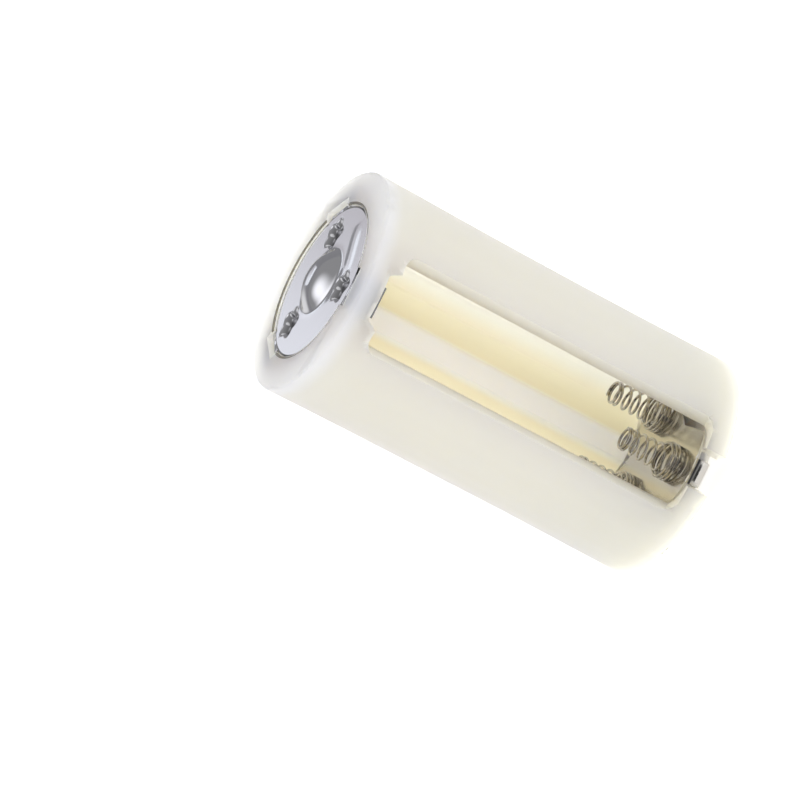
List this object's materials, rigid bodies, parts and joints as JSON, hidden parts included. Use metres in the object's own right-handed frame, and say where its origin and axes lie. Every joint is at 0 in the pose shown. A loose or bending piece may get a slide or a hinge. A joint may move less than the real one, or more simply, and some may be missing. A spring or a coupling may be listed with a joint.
{
  "type": "cylindrical cell holder",
  "caption": "Round milky holder that takes small round cells through a side window and stands in for one large cell, with a pressed button disc and conical springs.",
  "frame": {"origin": "centre of the rim that the holder stands on, at its negative end", "axes": "+Z along the holder's axis towards the positive button, -Y through the middle of the window, +X to the right when looking into the window"},
  "size_m": [0.0338, 0.0338, 0.0618],
  "materials": {
    "case": "milky, softly polished, slightly translucent moulding",
    "sheet": "bright nickel-plated sheet, faint rolling lines",
    "inner_sheet": "nickel-plated sheet, duller inside the case",
    "wire": "nickel-plated spring wire"
  },
  "bodies": {
    "root": {"case": "case", "positive_terminal": "sheet", "negative_terminal": "inner_sheet", "spring_window": "wire", "spring_right": "wire", "spring_left": "wire"}
  },
  "joints": []
}
